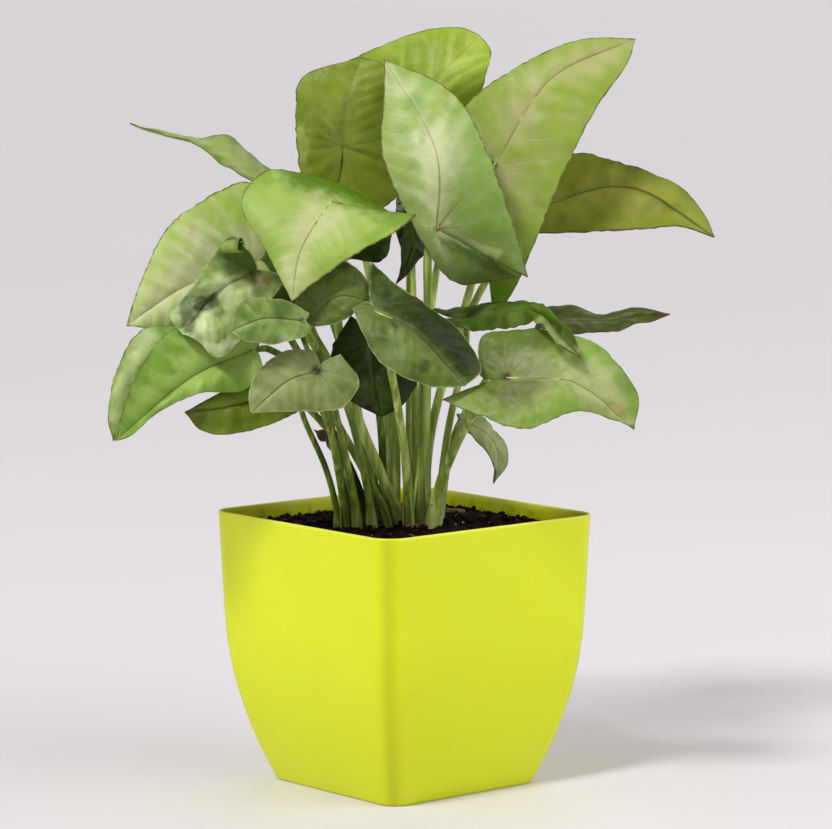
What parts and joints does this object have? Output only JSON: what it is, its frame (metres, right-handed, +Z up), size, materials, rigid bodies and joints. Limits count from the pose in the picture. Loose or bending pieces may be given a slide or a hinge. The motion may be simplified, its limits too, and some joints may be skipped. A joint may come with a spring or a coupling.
{
  "type": "arrowhead plant in a pot",
  "caption": "Arrowhead plant with upright stalks and arrow-shaped leaves, growing from soil in a rounded-square plastic pot that tapers to its foot.",
  "frame": {"origin": "middle of the pot's underside, on the surface it stands on", "axes": "+Z up through the plant; the pot's four walls face along +X, -X, +Y and -Y; the picture looks at it from the direction 49.5 degrees from -Y towards +X"},
  "size_m": [0.2284, 0.2384, 0.311],
  "materials": {
    "pot": "satin moulded lime-green plastic",
    "soil": "dark crumbly potting mix",
    "chip": "rough bare wood",
    "leaf_pale": "pale green leaf, soft satin",
    "leaf_bright": "fresh green leaf, soft satin",
    "leaf_dark": "dark green leaf, soft satin",
    "stalk": "fleshy green stalk"
  },
  "bodies": {
    "root": {"leaf_back_high": "leaf_dark", "leaf_back_low": "leaf_dark", "leaf_back_olive": "leaf_dark", "leaf_centre_pale": "leaf_pale", "leaf_far_left": "leaf_bright", "leaf_far_right": "leaf_dark", "leaf_front_heart": "leaf_bright", "leaf_inner_dark": "leaf_dark", "leaf_inner_low": "leaf_dark", "leaf_inner_small": "leaf_dark", "leaf_left_bright": "leaf_bright", "leaf_left_curled": "leaf_dark", "leaf_left_heart": "leaf_bright", "leaf_left_narrow": "leaf_bright", "leaf_left_pale": "leaf_pale", "leaf_left_under": "leaf_bright", "leaf_low_left": "leaf_bright", "leaf_middle_dark": "leaf_dark", "leaf_right_back": "leaf_dark", "leaf_right_edge": "leaf_dark", "leaf_right_high": "leaf_pale", "leaf_right_spotted": "leaf_pale", "leaf_shaded_heart": "leaf_dark", "leaf_small_droop": "leaf_pale", "leaf_top_bright": "leaf_bright", "leaf_young_folded": "leaf_dark", "pot": "pot", "soil": "soil", "stalk_back_high": "stalk", "stalk_back_low": "stalk", "stalk_back_olive": "stalk", "stalk_centre_pale": "stalk", "stalk_far_left": "stalk", "stalk_far_right": "stalk", "stalk_front_heart": "stalk", "stalk_inner_dark": "stalk", "stalk_inner_low": "stalk", "stalk_inner_small": "stalk", "stalk_left_bright": "stalk", "stalk_left_curled": "stalk", "stalk_left_heart": "stalk", "stalk_left_narrow": "stalk", "stalk_left_pale": "stalk", "stalk_left_under": "stalk", "stalk_low_left": "stalk", "stalk_middle_dark": "stalk", "stalk_right_back": "stalk", "stalk_right_edge": "stalk", "stalk_right_high": "stalk", "stalk_right_spotted": "stalk", "stalk_shaded_heart": "stalk", "stalk_small_droop": "stalk", "stalk_top_bright": "stalk", "stalk_young_folded": "stalk", "wood_chip": "chip"}
  },
  "joints": []
}
